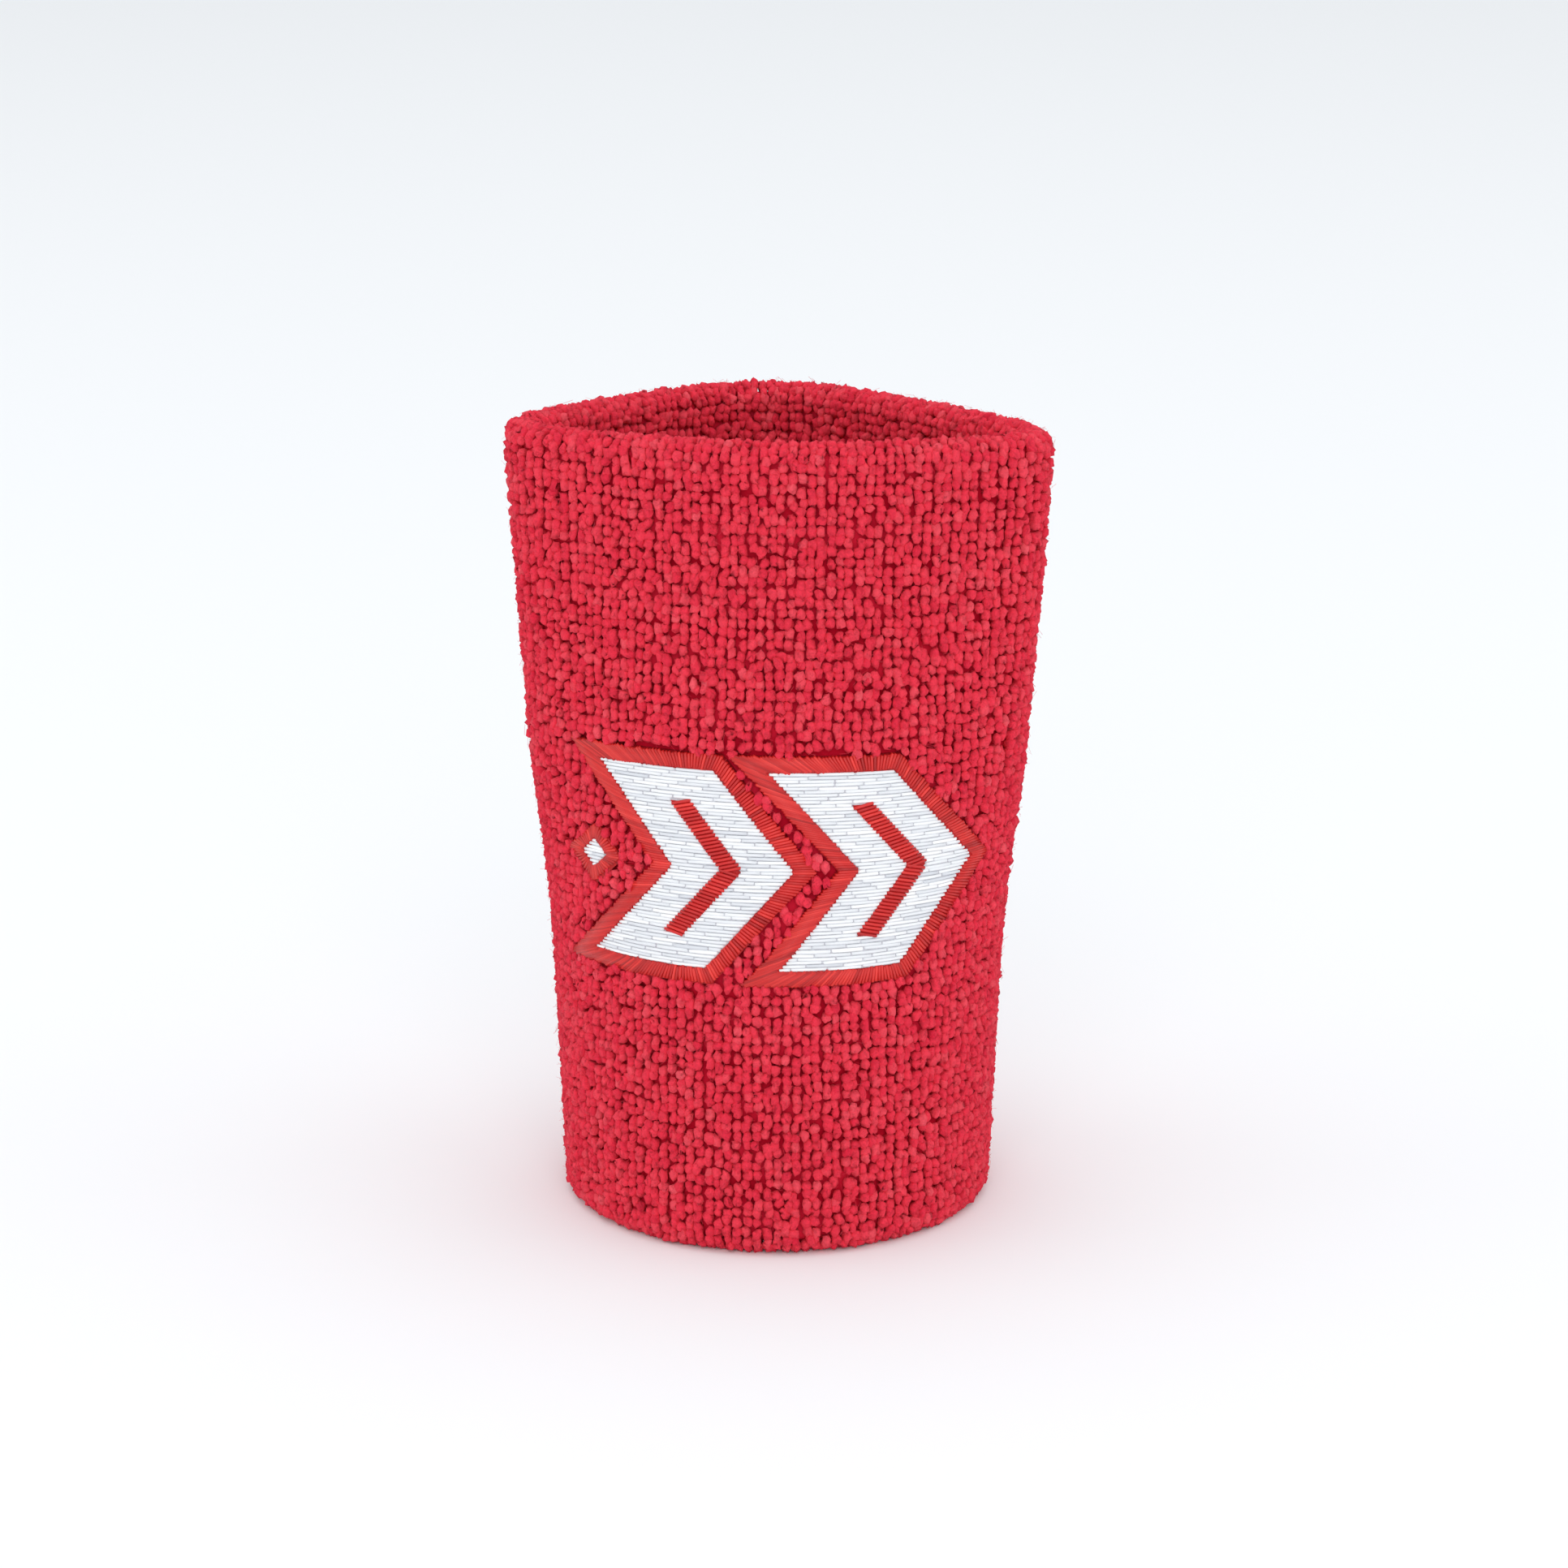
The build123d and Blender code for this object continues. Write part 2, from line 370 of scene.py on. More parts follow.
def pattern_loop(segments, rings):
    """One pile loop, modelled once: a round knot of yarn, fuller at its tip and drawn in at its foot."""
    bpy.ops.object.select_all(action="DESELECT")
    bpy.ops.mesh.primitive_uv_sphere_add(segments=segments, ring_count=rings, radius=0.5,
                                         location=(0, 0, 0.5))
    loop = bpy.context.object
    bpy.ops.object.transform_apply(location=True, rotation=True, scale=True)
    bpy.ops.object.mode_set(mode="EDIT")
    bpy.ops.mesh.select_all(action="DESELECT")
    bpy.ops.object.mode_set(mode="OBJECT")
    for vertex in loop.data.vertices:
        vertex.select = vertex.co.z < 0.4
    bpy.ops.object.mode_set(mode="EDIT")
    bpy.ops.transform.resize(value=(0.78, 0.78, 1.0))
    bpy.ops.object.mode_set(mode="OBJECT")
    return triangles_of(loop)


def pattern_stitch(sides, spans):
    """One length of thread along X, modelled once: of unit length, width and height."""
    bpy.ops.object.select_all(action="DESELECT")
    bpy.ops.mesh.primitive_cylinder_add(vertices=sides, radius=0.5, depth=1.0, rotation=(0, math.pi / 2, 0))
    stitch = bpy.context.object
    bpy.ops.object.transform_apply(location=True, rotation=True, scale=True)
    bpy.ops.object.mode_set(mode="EDIT")
    bpy.ops.mesh.select_mode(type="EDGE")
    bpy.ops.mesh.select_all(action="DESELECT")
    bpy.ops.object.mode_set(mode="OBJECT")
    for edge in stitch.data.edges:
        ends = [stitch.data.vertices[i].co.x for i in edge.vertices]
        edge.select = abs(ends[0] - ends[1]) > 0.5
    bpy.ops.object.mode_set(mode="EDIT")
    bpy.ops.mesh.subdivide(number_cuts=spans - 1)
    bpy.ops.mesh.select_mode(type="VERT")
    bpy.ops.object.mode_set(mode="OBJECT")
    return triangles_of(stitch)


def copied_faces(faces, corner_count, copies):
    """The triangles of so many copies of a pattern, whose corners follow one another."""
    steps = np.arange(copies) * corner_count
    return (faces[None] + steps[:, None, None]).reshape(-1, 3)


def repeat(pattern, origins, axes, sizes, tints, draw=None, rough=0.0):
    """Copies of a pattern at origins, along axes, of sizes, as arrays of corners, triangles and tints.

    rough moves the corners of each copy at random, by this share of its size.
    """
    corners, faces = pattern
    shaped = corners[None] * sizes[:, None, :]
    if rough:
        shaped = shaped + draw.normal(0, rough, shaped.shape) * sizes[:, None, :]
    placed = np.einsum("nvk,nkj->nvj", shaped, axes) + origins[:, None, :]
    all_faces = copied_faces(faces, len(corners), len(origins))
    return placed.reshape(-1, 3), all_faces, np.repeat(tints, len(corners))


# The emblem's layout, in the plane of each chevron: across it, and up from its middle

class Emblem:
    """Outlines of the chevrons and the diamond, with each one's way from its plane onto the cloth."""

    def __init__(self, settings):
        self.settings = settings
        self.turn = settings.emblem_turn
        self.start = settings.chevron_start
        self.slope = settings.point_depth / EMBLEM_HALF
        self.back = -(settings.chevron_width + settings.point_depth) / 2
        self.diamond_middle = self.back + settings.diamond_size / 2

    def plane(self, side):
        """Origin, across direction and outward direction of one side's plane."""
        cosine, sine = math.cos(self.turn), math.sin(self.turn) * side
        origin = Vector((side * self.start, 0, EMBLEM_MIDDLE))
        return origin, Vector((cosine, sine, 0)), Vector((sine, -cosine, 0))

    def chevron(self, margin):
        """Left edge at mid height, width and half height of a chevron inside a border of this width."""
        inset = margin * math.hypot(1, self.slope)
        point = self.back + self.settings.point_depth + inset
        return point, self.settings.chevron_width - 2 * inset, EMBLEM_HALF - margin

    def corners(self, margin):
        """The six corners of that chevron, anticlockwise from the lower back tip."""
        point, width, half = self.chevron(margin)
        tip = point - self.slope * half
        return [(tip, -half), (tip + width, -half), (point + width, 0),
                (tip + width, half), (tip, half), (point, 0)]

    def inside(self, across, up, margin):
        """Whether points of a plane lie in a chevron inset by margin."""
        point, width, half = self.chevron(margin)
        left = point - self.slope * np.abs(up)
        return (np.abs(up) < half) & (across > left) & (across < left + width)

    def diamond_reach(self, margin):
        """Distance from the middle to the points of the diamond inset by margin."""
        return self.settings.diamond_size / 2 - margin * math.sqrt(2)

    def diamond(self, margin):
        """The four corners of that diamond, anticlockwise from the lowest."""
        centre, reach = self.diamond_middle, self.diamond_reach(margin)
        return [(centre, -reach), (centre + reach, 0), (centre, reach), (centre - reach, 0)]

    def in_diamond(self, across, up, margin):
        """Whether points of the left plane lie in that diamond."""
        return np.abs(across - self.diamond_middle) + np.abs(up) < self.diamond_reach(margin)

    def covers(self, points, margin):
        """Whether points of the cloth are under the emblem."""
        under = np.zeros(len(points), dtype=bool)
        for side in SIDES.values():
            origin, across_axis, out = (np.array(v) for v in self.plane(side))
            across = (points - origin) @ across_axis
            up = points[:, 2] - EMBLEM_MIDDLE
            front = (points - origin) @ out > 0
            under |= front & self.inside(across, up, margin)
            if side < 0:
                under |= front & self.in_diamond(across, up, margin)
        return under


# Settings that a user would change

def length(name, description, default_mm):
    """A length property with its default in millimetres."""
    return FloatProperty(name=name, description=description, default=default_mm * MM, min=0.01 * MM,
                         precision=5, subtype="DISTANCE", unit="LENGTH")


def colour(name, description, default):
    """A colour property with its default as an sRGB hex value."""
    return FloatVectorProperty(name=name, description=description, default=linear(default), size=4,
                               min=0.0, max=1.0, subtype="COLOR")


class WristbandSettings(bpy.types.PropertyGroup):
    """Sizes and colours of the wristband."""

    wales: IntProperty(name="Wales", description="Columns of loops round the band", default=137, min=24)
    course_pitch: length("Course pitch", "Height of one row of loops", 1.15)
    pile_height: length("Pile height", "How far the loops stand off the knit", 1.45)
    knit_thickness: length("Knit thickness", "Thickness of the knitted ground", 0.45)
    wall_gap: length("Wall gap", "Room between the two walls for elastic and backing", 1.0)
    stray_fibres: IntProperty(name="Stray fibres", description="Loose ends of fibre on the pile",
                              default=7000, min=0)
    fibre_width: length("Fibre width", "Thickness of a stray fibre", 0.03)
    chevron_width: length("Chevron width", "Width of each chevron across its arms", 18.6)
    point_depth: length("Point depth", "How far a chevron's point leads its tips", 11.0)
    chevron_start: length("Chevron start", "How far from the middle plane each chevron's facing line starts",
                          4.976)
    emblem_turn: FloatProperty(name="Emblem turn", description="How far each chevron turns from the front",
                               default=math.radians(16), subtype="ANGLE", unit="ROTATION")
    border_width: length("Border width", "Width of the satin border", 1.8)
    rib_width: length("Rib width", "Width of the satin rib in each chevron", 1.8)
    rib_height: length("Rib height", "Height of the satin rib in each chevron", 15.0)
    diamond_size: length("Diamond size", "Diamond's size across its points", 7.0)
    diamond_border: length("Diamond border", "Width of the diamond's satin border", 1.3)
    row_pitch: length("Row pitch", "Distance between rows of filling stitches", 0.4)
    stitch_length: length("Stitch length", "Length of a filling stitch", 4.2)
    pile_deep: colour("Pile, deep", "Darkest loops", "#EA2442")
    pile_colour: colour("Pile", "Middle colour of the loops", "#FC384F")
    pile_light: colour("Pile, light", "Palest loops", "#FF5A68")
    # The ground's red is darkened as painted shade for the gaps between the loops
    ground_with_painted_shade: colour("Ground", "Knitted ground in the gaps", "#CC0C2C")
    white_thread: colour("White thread", "Filling thread", "#EEF0F3")
    red_thread: colour("Red thread", "Satin thread", "#CC1F1E")
    floor_colour: colour("Floor", "Pale floor", "#F4F6F8")


def settings_of(context):
    """The scene's wristband settings."""
    return context.scene.wristband


def mid_radius(settings):
    """Radius of the round lower edge, to the middle of its wall."""
    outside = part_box("bottom_edge_pile")[1][0]
    return outside - settings.wall_gap / 2 - settings.knit_thickness - settings.pile_height


def cloth_of(settings):
    """The cloth's middle surface with its knit's half thickness."""
    return Cloth(settings.wall_gap / 2 + settings.knit_thickness)


# Pieces

class WRISTBAND_OT_knit(bpy.types.Operator):
    """Knits the ground cloth: one tube folded at the top and bottom into two walls"""

    bl_idname = "wristband.knit"
    bl_label = "Knit the Ground Cloth"

    fold_steps = 6

    def execute(self, context):
        settings = settings_of(context)
        cloth = cloth_of(settings)
        wales = settings.wales
        courses = int((FOLD_HIGH - FOLD_LOW) / settings.course_pitch)
        heights = np.linspace(FOLD_LOW, FOLD_HIGH, courses)
        fold = np.linspace(0, math.pi, self.fold_steps + 1)[1:-1]
        profile = [(height, 0.0) for height in heights]
        profile += [(FOLD_HIGH, roll) for roll in fold]
        profile += [(height, math.pi) for height in heights[::-1]]
        profile += [(FOLD_LOW, math.pi + roll) for roll in fold]
        rows = len(profile)
        turn = np.tile(np.arange(wales) / wales, rows)
        height = np.repeat([p[0] for p in profile], wales)
        roll = np.repeat([p[1] for p in profile], wales)
        origins, _ = cloth.place(turn, height, roll)
        row, column = np.meshgrid(np.arange(rows), np.arange(wales), indexing="ij")
        next_row, next_column = (row + 1) % rows, (column + 1) % wales
        faces = np.stack([row * wales + column, next_row * wales + column,
                          next_row * wales + next_column, row * wales + next_column], -1).reshape(-1, 4)
        piece = mesh_piece("knitted_ground_cloth", origins, faces)
        bpy.ops.object.select_all(action="DESELECT")
        piece.select_set(True)
        context.view_layer.objects.active = piece
        bpy.ops.object.mode_set(mode="EDIT")
        bpy.ops.mesh.select_all(action="SELECT")
        bpy.ops.mesh.normals_make_consistent(inside=False)
        bpy.ops.object.mode_set(mode="OBJECT")
        wall = piece.modifiers.new("thickness", "SOLIDIFY")
        wall.thickness = settings.knit_thickness
        wall.offset = -1
        bpy.ops.object.modifier_apply(modifier=wall.name)
        finish_piece(piece, knitted_ground("knitted cotton ground", settings),
                     "outer_knit_base", "inner_knit_base_lower", "inner_knit_base_upper",
                     "top_edge_knit", "bottom_edge_knit")
        return {"FINISHED"}


class WRISTBAND_OT_pile(bpy.types.Operator):
    """Loops the pile over both walls and both folds"""

    bl_idname = "wristband.pile"
    bl_label = "Loop the Pile"

    fold_courses = 6
    # Mean and spread of a loop's width in wales, length in courses and height in pile heights
    loop_width = (1.12, 0.10)
    loop_length = (1.42, 0.14)
    loop_height = (0.98, 0.06)
    # Spread of a loop's place, in wales and in courses, of its lean and spin, and of its corners
    place_spread = (0.045, 0.14)
    lean_spread, spin_spread, corner_spread = 0.16, 0.2, 0.07
    # A fibre's shortest and longest length, its corners' spread, and the share on the top fold
    fibre_length = (0.5 * MM, 1.5 * MM)
    fibre_spread = 0.05
    fibres_on_top = 0.12

    def rows_of_wall(self, settings, low, high, roll):
        """Heights and rolls of the courses of one stretch of wall."""
        count = max(2, round((high - low) / settings.course_pitch))
        return [(low + (row + 0.5) * (high - low) / count, roll) for row in range(count)]

    def rows_of_fold(self, height, first):
        """Heights and rolls of the courses over one fold."""
        rows = range(self.fold_courses)
        return [(height, first + (row + 0.5) * math.pi / self.fold_courses) for row in rows]

    def loops(self, cloth, settings, rows, first_wale, last_wale, emblem=None):
        """Origins, axes, sizes and tints of one piece's loops."""
        draw = np.random.default_rng(SEED + first_wale + 1000 * len(rows))
        wales = np.arange(first_wale, last_wale)
        count = len(rows) * len(wales)
        turn = (np.tile(wales, len(rows)) + 0.5) / settings.wales
        height = np.repeat([row[0] for row in rows], len(wales))
        roll = np.repeat([row[1] for row in rows], len(wales))
        on_wall = np.abs(np.sin(roll)) < 0.01
        radius = mid_radius(settings)
        pitch = 2 * math.pi * radius / settings.wales
        # Each wale wavers a little as a whole, and each loop a little more on its own
        waver = np.cumsum(draw.normal(0, 0.05, (len(rows), len(wales))), 0)
        waver -= waver.mean(0)
        sideways, upwards = self.place_spread
        turn = turn + (0.35 * waver.ravel() + draw.normal(0, sideways, count)) / settings.wales
        height = height + np.where(on_wall, draw.normal(0, upwards, count) * settings.course_pitch, 0)
        origins, axes = cloth.place(turn, height, roll)
        wide = pitch * (1 + settings.pile_height / radius * np.cos(roll))
        sizes = np.column_stack([
            wide * draw.normal(*self.loop_width, count),
            settings.course_pitch * draw.normal(*self.loop_length, count),
            settings.pile_height * draw.normal(*self.loop_height, count),
        ])
        lean = draw.normal(0, self.lean_spread, (count, 2))
        face = axes[:, 2] + axes[:, 0] * lean[:, :1] + axes[:, 1] * lean[:, 1:]
        face /= np.linalg.norm(face, axis=1, keepdims=True)
        spin = draw.normal(0, self.spin_spread, count)[:, None]
        across = axes[:, 0] * np.cos(spin) + axes[:, 1] * np.sin(spin)
        across -= face * (across * face).sum(1, keepdims=True)
        across /= np.linalg.norm(across, axis=1, keepdims=True)
        axes = np.stack([across, np.cross(face, across), face], 1)
        tints = np.clip(draw.normal(0.5, 0.16, count), 0, 1)
        keep = np.ones(count, dtype=bool)
        if emblem:
            keep = ~emblem.covers(origins, -0.1 * MM)
        return origins[keep], axes[keep], sizes[keep], tints[keep]

    def fibres(self, cloth, settings, emblem, material):
        """Loose ends of fibre that stand off the loops and blur the band's outline."""
        draw = np.random.default_rng(SEED + 2)
        count = settings.stray_fibres
        turn = draw.random(count)
        along = draw.random(count)
        height = FOLD_LOW + (FOLD_HIGH - FOLD_LOW) * along
        on_top = draw.random(count) < self.fibres_on_top
        roll = np.where(on_top, draw.random(count) * math.pi, 0.0)
        height = np.where(roll > 0, FOLD_HIGH, height)
        origins, axes = cloth.place(turn, height, roll)
        keep = ~emblem.covers(origins, 0)
        origins = origins + axes[:, 2] * settings.pile_height * draw.normal(0.97, 0.08, count)[:, None]
        run = draw.normal(0, 1, (count, 3)) * (1.0, 1.0, 0.45)
        run = np.einsum("nk,nkj->nj", run / np.linalg.norm(run, axis=1, keepdims=True), axes)
        side = np.cross(run, draw.normal(0, 1, (count, 3)))
        side /= np.linalg.norm(side, axis=1, keepdims=True)
        frames = np.stack([run, side, np.cross(run, side)], 1)
        wide = settings.fibre_width * draw.uniform(0.7, 1.3, count)
        sizes = np.column_stack([draw.uniform(*self.fibre_length, count), wide, wide])
        tints = draw.uniform(0.5, 1.0, count)
        kept = [table[keep] for table in (origins, frames, sizes, tints)]
        looped = repeat(pattern_stitch(3, 2), *kept, draw, self.fibre_spread)
        finish_piece(mesh_piece("stray_fibres", *looped), material)

    def execute(self, context):
        settings = settings_of(context)
        cloth = cloth_of(settings)
        emblem = Emblem(settings)
        material = cotton_pile("terry cotton loops", settings)
        self.fibres(cloth, settings, emblem, material)
        full, plain = pattern_loop(8, 5), pattern_loop(6, 4)
        outer = self.rows_of_wall(settings, FOLD_LOW, FOLD_HIGH, 0.0)
        wales = settings.wales
        quarter = [round(share * wales / 4) for share in range(5)]
        pieces = []
        names = ("back_left", "front_left", "front_right", "back_right")
        for name, first, last in zip(names, quarter, quarter[1:]):
            pieces.append((f"outer_loops_{name}", full, outer, first, last, ["outer_terry_pile"]))
        upper = self.rows_of_wall(settings, SEAM_HIGH, FOLD_HIGH, math.pi)
        lower = self.rows_of_wall(settings, FOLD_LOW, SEAM_LOW, math.pi)
        top, bottom = self.rows_of_fold(FOLD_HIGH, 0.0), self.rows_of_fold(FOLD_LOW, math.pi)
        pieces += [
            ("top_edge_loops", full, top, 0, wales, ["top_edge_pile"]),
            ("bottom_edge_loops", full, bottom, 0, wales, ["bottom_edge_pile"]),
            ("inner_loops_upper", plain, upper, 0, wales, ["inner_terry_pile_upper"]),
            ("inner_loops_lower", plain, lower, 0, wales, ["inner_terry_pile_lower"]),
        ]
        for name, pattern, rows, first, last, nodes in pieces:
            looped = self.loops(cloth, settings, rows, first, last, emblem if "outer" in name else None)
            draw = np.random.default_rng(SEED + len(name))
            corners, faces, tints = repeat(pattern, *looped, draw, self.corner_spread)
            # The loops that the band stands on are pressed flat
            corners[:, 2] = np.maximum(corners[:, 2], 0)
            finish_piece(mesh_piece(name, corners, faces, tints), material, *nodes)
        return {"FINISHED"}


class WRISTBAND_OT_embroider(bpy.types.Operator):
    """Sews the emblem: filling stitches, satin borders and satin ribs, over their plates"""

    bl_idname = "wristband.embroider"
    bl_label = "Embroider the Emblem"

    # How near its end a thread dives, as a power of its place along, and how narrow it is there
    dive_power = 0.15
    dive_taper = 0.75
    # Spread of a satin stitch's ends, as a share of its length
    satin_spread = 0.035

    def sew(self, name, emblem, cloth, stitches, thread, material, draw):
        """Lays stitches of a thread, as (side, from, to), onto the cloth."""
        corners, faces = pattern_stitch(6, 4)
        width, height, end_lift, middle_lift = thread
        outside = 2 * CAD_BOX[1][0]
        placed = []
        for side, first, last in stitches:
            origin, across, out = emblem.plane(side)
            run = Vector((last[0] - first[0], last[1] - first[1]))
            sideways = Vector((-run.y, run.x)).normalized()
            for corner in corners:
                # The thread lies flat for nearly all its length, then dives at its needle holes
                reach = math.copysign(abs(2 * corner[0]) ** self.dive_power, corner[0])
                share = 0.5 + 0.5 * reach
                dive = abs(reach) > 0.99
                taper = self.dive_taper if dive else 1.0
                spot = Vector(first) + run * share + sideways * (corner[1] * width * taper)
                start = origin + across * spot.x + Vector((0, 0, spot.y)) + out * outside
                hit, normal = cloth.skin.ray_cast(start, -out)[:2]
                if hit is None:
                    raise RuntimeError(f"a stitch of {name} misses the cloth")
                lift = (end_lift if dive else middle_lift) + corner[2] * height * taper
                placed.append(hit + normal * lift)
        all_faces = copied_faces(faces, len(corners), len(stitches))
        tints = np.repeat(np.clip(draw.normal(0.5, 0.2, len(stitches)), 0, 1), len(corners))
        piece = mesh_piece(name, np.array([p[:] for p in placed]), all_faces, tints)
        finish_piece(piece, material)

    def tatami(self, side, rows, pitch, length, draw):
        """Filling stitches along rows of (up, from, to), their ends staggered from row to row."""
        stitches = []
        for index, (up, low, high) in enumerate(rows):
            breaks = [low]
            spot = low + length * (0.25 + (index % 3) / 3)
            while spot < high - 0.25 * length:
                breaks.append(spot + draw.normal(0, 0.06 * length))
                spot += length
            breaks.append(high)
            for first, last in zip(breaks, breaks[1:]):
                wander = draw.normal(0, 0.07 * pitch, 2)
                stitches.append((side, (first, up + wander[0]), (last, up + wander[1])))
        return stitches

    def chevron_rows(self, emblem, settings):
        """Rows of the chevron's field, parted by its rib."""
        point, width, half = emblem.chevron(settings.border_width)
        rib = settings.rib_width * math.hypot(1, emblem.slope)
        rows = []
        for up in np.arange(-half + settings.row_pitch / 2, half, settings.row_pitch):
            left = point - emblem.slope * abs(up)
            middle = left + width / 2
            if abs(up) < settings.rib_height / 2:
                rows += [(up, left, middle - rib / 2), (up, middle + rib / 2, left + width)]
            else:
                rows.append((up, left, left + width))
        return rows

    def satin(self, side, outer, inner, pitch, draw):
        """Satin stitches from one closed outline to the one inside it."""
        stitches = []
        for i in range(len(outer)):
            o0, o1 = Vector(outer[i]), Vector(outer[(i + 1) % len(outer)])
            i0, i1 = Vector(inner[i]), Vector(inner[(i + 1) % len(inner)])
            count = max(3, round((o1 - o0).length / pitch))
            for step in range(count):
                share = (step + 0.5) / count
                first, last = draw.normal(0, self.satin_spread), draw.normal(0, self.satin_spread)
                a, b = o0.lerp(o1, share), i0.lerp(i1, share)
                stitches.append((side, tuple(a.lerp(b, first)), tuple(b.lerp(a, last))))
        return stitches

    def execute(self, context):
        settings = settings_of(context)
        cloth = cloth_of(settings)
        emblem = Emblem(settings)
        draw = np.random.default_rng(SEED)
        white = embroidery_thread("white polyester thread", linear("#D9DCE2"), settings.white_thread,
                                  linear("#FFFFFF"), 0.42)
        red = embroidery_thread("dark red polyester thread", linear("#A81416"), settings.red_thread,
                                linear("#EA3A34"), 0.4)
        plate_white = plain_fibre("white thread under layer", linear("#B4B0B8"), linear("#DADCE1"),
                                  0.4, 0.6)
        plate_red = plain_fibre("dark red thread under layer", linear("#7C0A12"), settings.red_thread,
                                0.4, 0.6)
        fill, satin = [], []
        for side in SIDES.values():
            rows = self.chevron_rows(emblem, settings)
            fill += self.tatami(side, rows, settings.row_pitch, settings.stitch_length, draw)
            satin += self.satin(side, emblem.corners(0), emblem.corners(settings.border_width),
                                settings.row_pitch, draw)
            point, width, _ = emblem.chevron(settings.border_width)
            rib = settings.rib_width * math.hypot(1, emblem.slope) / 2
            for up in np.arange(-settings.rib_height / 2, settings.rib_height / 2, settings.row_pitch * 0.9):
                middle = point - emblem.slope * abs(up) + width / 2
                slant = math.copysign(0.25 * rib, up)
                satin.append((side, (middle - rib, up - slant), (middle + rib, up + slant)))
        centre, eye_half = emblem.diamond_middle, emblem.diamond_reach(settings.diamond_border)
        satin += self.satin(SIDES["left"], emblem.diamond(0), emblem.diamond(settings.diamond_border),
                            settings.row_pitch, draw)
        eye_rows = [(up, centre - eye_half + abs(up), centre + eye_half - abs(up))
                    for up in np.arange(-eye_half + 0.2 * MM, eye_half, settings.row_pitch)]
        fill += self.tatami(SIDES["left"], eye_rows, settings.row_pitch, settings.stitch_length, draw)
        self.sew("white_filling_stitches", emblem, cloth, fill, FILL_THREAD, white, draw)
        self.sew("red_satin_stitches", emblem, cloth, satin, SATIN_THREAD, red, draw)
        for name in SIDES:
            paint(frame["nodes"][f"{name}_chevron_fill"], plate_white)
            paint(frame["nodes"][f"{name}_chevron_border"], plate_red)
            paint(frame["nodes"][f"{name}_chevron_rib"], plate_red)
        paint(frame["nodes"]["diamond_fill"], plate_white)
        paint(frame["nodes"]["diamond_border"], plate_red)
        return {"FINISHED"}


class WRISTBAND_OT_hidden(bpy.types.Operator):
    """Finishes what lies between the walls and sews the joining seam"""

    bl_idname = "wristband.hidden"
    bl_label = "Finish the Inner Pieces"

    # Nodes, then the title, dark and light colours, grain in millimetres and roughness of their material
    finishes = (
        (("outer_elastic_yarns", "inner_elastic_yarns"), "covered elastic yarn",
         "#C9BFB6", "#E6DFD8", 0.3, 0.7),
        (("embroidery_backing",), "non-woven backing", "#D4D4D0", "#F0F0EC", 0.8, 0.9),
        (("bobbin_thread",), "spun bobbin thread", "#DADCE0", "#F2F3F5", 0.2, 0.7),
        (("pressed_pile_underlay",), "pressed terry pile", "#8A0416", "#C4102A", 0.5, 0.95),
        (("joining_seam_thread",), "linking stitches", "#96061A", "#D01C34", 0.4, 0.9),
    )
    # Length, width and height of a linking stitch, its lift over the knit, and its slant
    stitch_size = (2.0 * MM, 0.6 * MM, 0.5 * MM)
    stitch_lift = 1.0 * MM
    stitch_slant = 0.5

    def execute(self, context):
        settings = settings_of(context)
        cloth = cloth_of(settings)
        for names, title, dark, light, grain_mm, rough in self.finishes:
            material = plain_fibre(title, linear(dark), linear(light), grain_mm, rough)
            for name in names:
                paint(frame["nodes"][name], material)
        draw = np.random.default_rng(SEED + 1)
        count = settings.wales
        turn = (np.arange(count) + 0.5) / count
        height = np.full(count, (SEAM_LOW + SEAM_HIGH) / 2)
        origins, axes = cloth.place(turn, height, np.full(count, math.pi))
        across = axes[:, 0] * math.sin(self.stitch_slant) + axes[:, 1] * math.cos(self.stitch_slant)
        axes = np.stack([across, np.cross(axes[:, 2], across), axes[:, 2]], 1)
        origins = origins + axes[:, 2] * self.stitch_lift
        sizes = np.tile(self.stitch_size, (count, 1))
        tints = draw.normal(0.5, 0.15, count)
        stitches = repeat(pattern_stitch(6, 4), origins, axes, sizes, tints)
        finish_piece(mesh_piece("linking_stitches", *stitches), cotton_pile("seam yarn", settings))
        return {"FINISHED"}


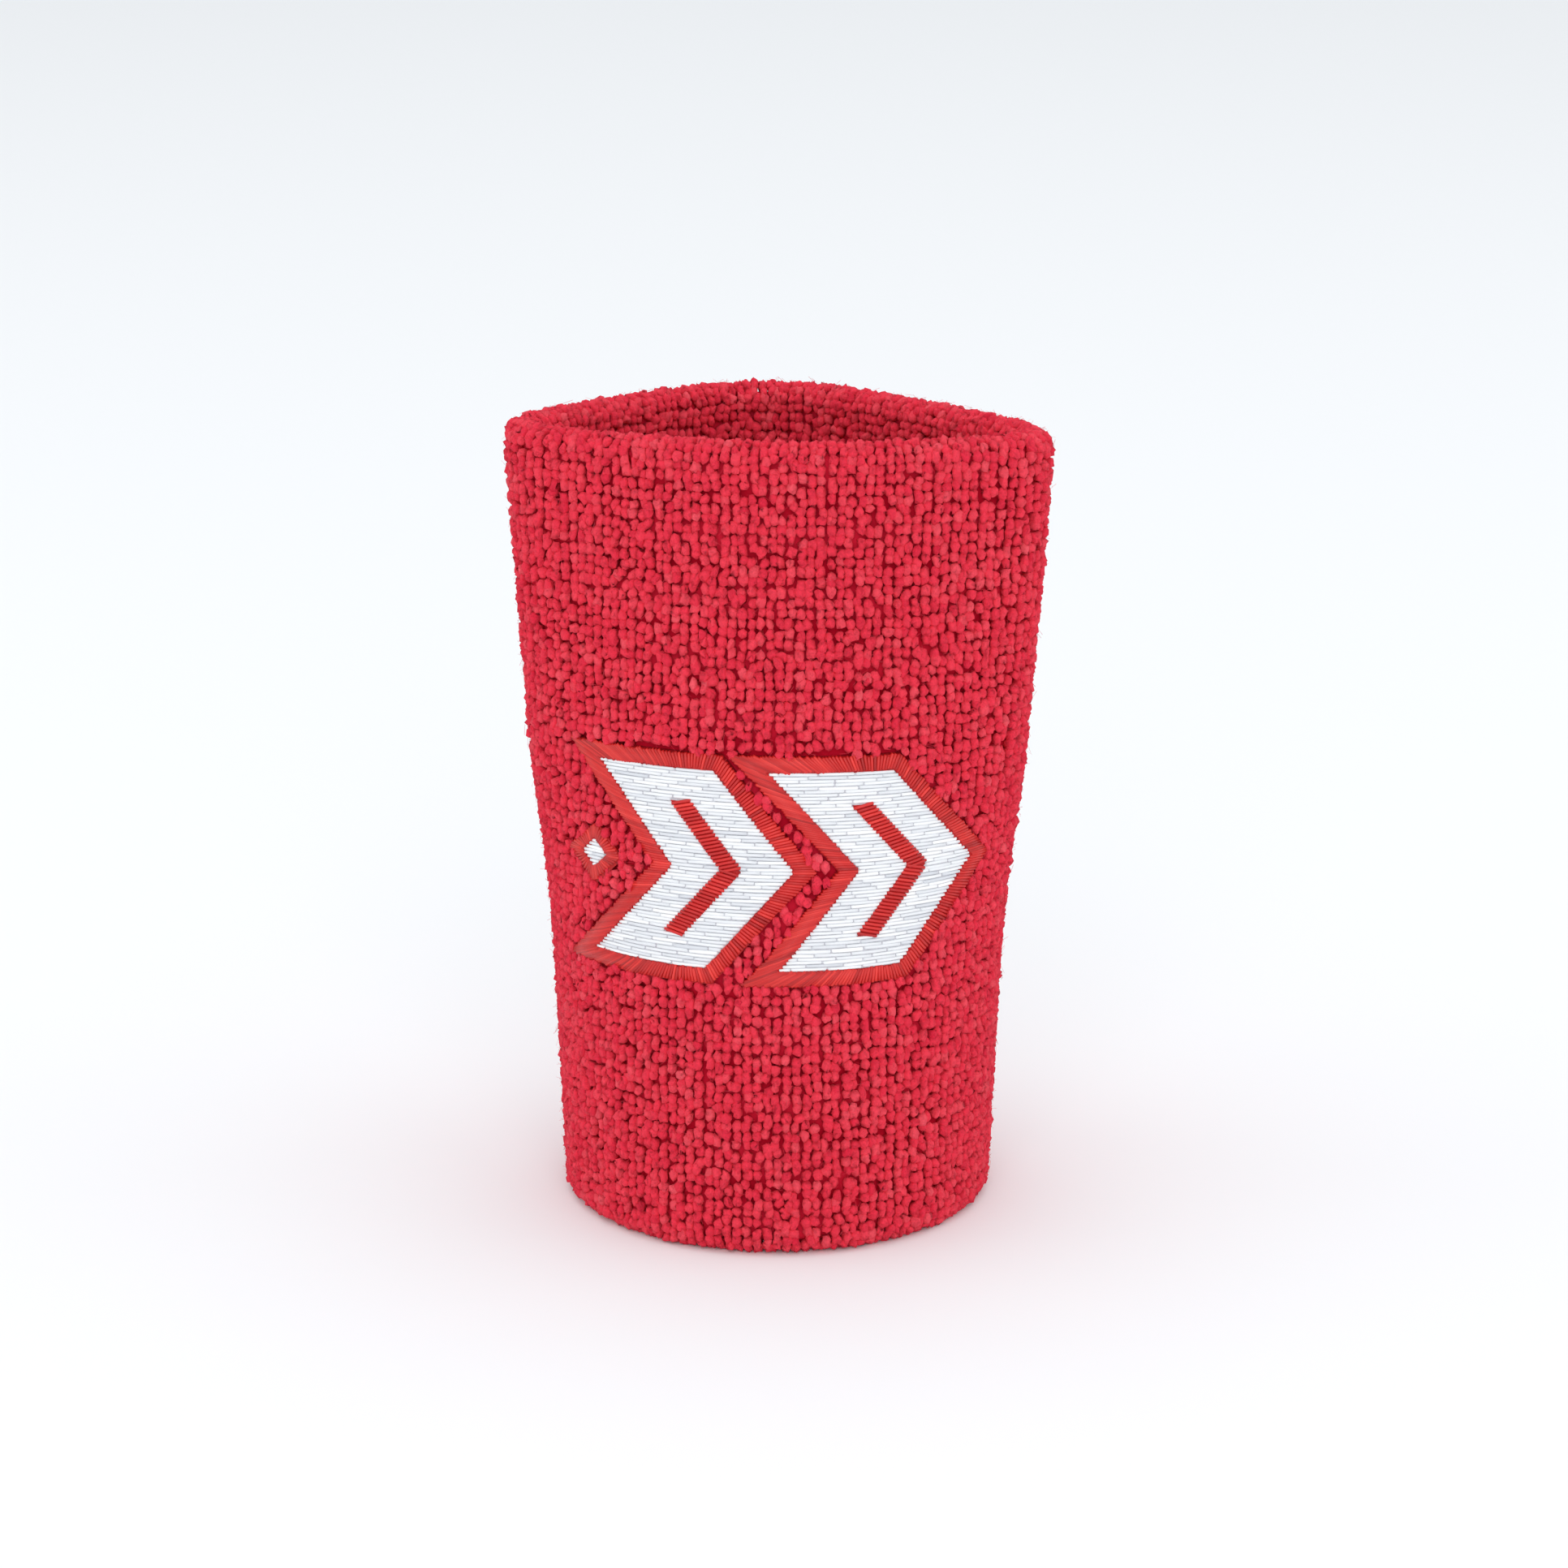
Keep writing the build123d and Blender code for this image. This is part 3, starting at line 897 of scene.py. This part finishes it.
class WRISTBAND_OT_stage(bpy.types.Operator):
    """Sets the pale floor, the soft studio light and the camera"""

    bl_idname = "wristband.stage"
    bl_label = "Set the Stage"

    world_strength = 0.84
    lens_mm = 101.5
    sensor_mm = 36
    camera_place = (0.0008, -0.5, 0.1944)
    # Degrees below the horizontal
    camera_pitch = 16.16

    def softbox(self, name, place, aim, size, power):
        """A square soft light at a place, aimed at a point."""
        light = bpy.data.lights.new(name, "AREA")
        light.size = size
        light.energy = power
        lamp = bpy.data.objects.new(name, light)
        bpy.context.collection.objects.link(lamp)
        lamp.location = place
        lamp.rotation_euler = (Vector(aim) - Vector(place)).to_track_quat("-Z", "Y").to_euler()

    def execute(self, context):
        settings = settings_of(context)
        bpy.ops.object.select_all(action="DESELECT")
        bpy.ops.mesh.primitive_plane_add(size=12.0, location=(0, 0, 0))
        floor = context.object
        floor.name = "floor"
        material, _, shader = new_material("pale matt paper", 0.9, 0.2)
        shader.inputs["Base Color"].default_value = settings.floor_colour
        floor.data.materials.append(material)
        world = bpy.data.worlds.new("pale studio")
        world.use_nodes = True
        background = world.node_tree.nodes["Background"]
        background.inputs["Color"].default_value = linear("#F6F8FA")
        background.inputs["Strength"].default_value = self.world_strength
        context.scene.world = world
        middle = (0, 0, 0.045)
        self.softbox("overhead softbox", (0.0, 0.3, 2.2), middle, 2.0, 9.0)
        self.softbox("front softbox", (0.0, -1.3, 0.8), middle, 1.0, 6.0)
        self.softbox("left softbox", (-0.9, 0.0, 0.4), middle, 0.7, 1.0)
        self.softbox("right softbox", (0.9, 0.0, 0.4), middle, 0.7, 1.0)
        camera_data = bpy.data.cameras.new("camera")
        camera_data.lens = self.lens_mm
        camera_data.sensor_width = self.sensor_mm
        camera = bpy.data.objects.new("camera", camera_data)
        bpy.context.collection.objects.link(camera)
        camera.location = self.camera_place
        camera.rotation_euler = (math.radians(90 - self.camera_pitch), 0, 0)
        context.scene.camera = camera
        context.scene.view_settings.view_transform = "Standard"
        return {"FINISHED"}


OPERATORS = (WRISTBAND_OT_stage, WRISTBAND_OT_knit, WRISTBAND_OT_pile, WRISTBAND_OT_embroider,
             WRISTBAND_OT_hidden)


class WRISTBAND_PT_panel(bpy.types.Panel):
    """Lists the steps that make the wristband"""

    bl_idname = "WRISTBAND_PT_panel"
    bl_label = "Terry Wristband"
    bl_space_type = "VIEW_3D"
    bl_region_type = "UI"
    bl_category = "Wristband"

    def draw(self, context):
        for operator in OPERATORS:
            self.layout.operator(operator.bl_idname)


CLASSES = (WristbandSettings, *OPERATORS, WRISTBAND_PT_panel)


def register():
    for item in CLASSES:
        bpy.utils.register_class(item)
    bpy.types.Scene.wristband = PointerProperty(type=WristbandSettings)


def unregister():
    del bpy.types.Scene.wristband
    for item in reversed(CLASSES):
        bpy.utils.unregister_class(item)


def main():
    register()
    bpy.ops.wristband.stage()
    bpy.ops.wristband.knit()
    bpy.ops.wristband.pile()
    bpy.ops.wristband.embroider()
    bpy.ops.wristband.hidden()
    pieces = bpy.data.objects
    loops = [o for o in pieces if "_loops" in o.name or o.name == "linking_stitches"]
    loops += [pieces[name] for name in ("white_filling_stitches", "red_satin_stitches", "stray_fibres")]


if __name__ == "__main__":
    main()
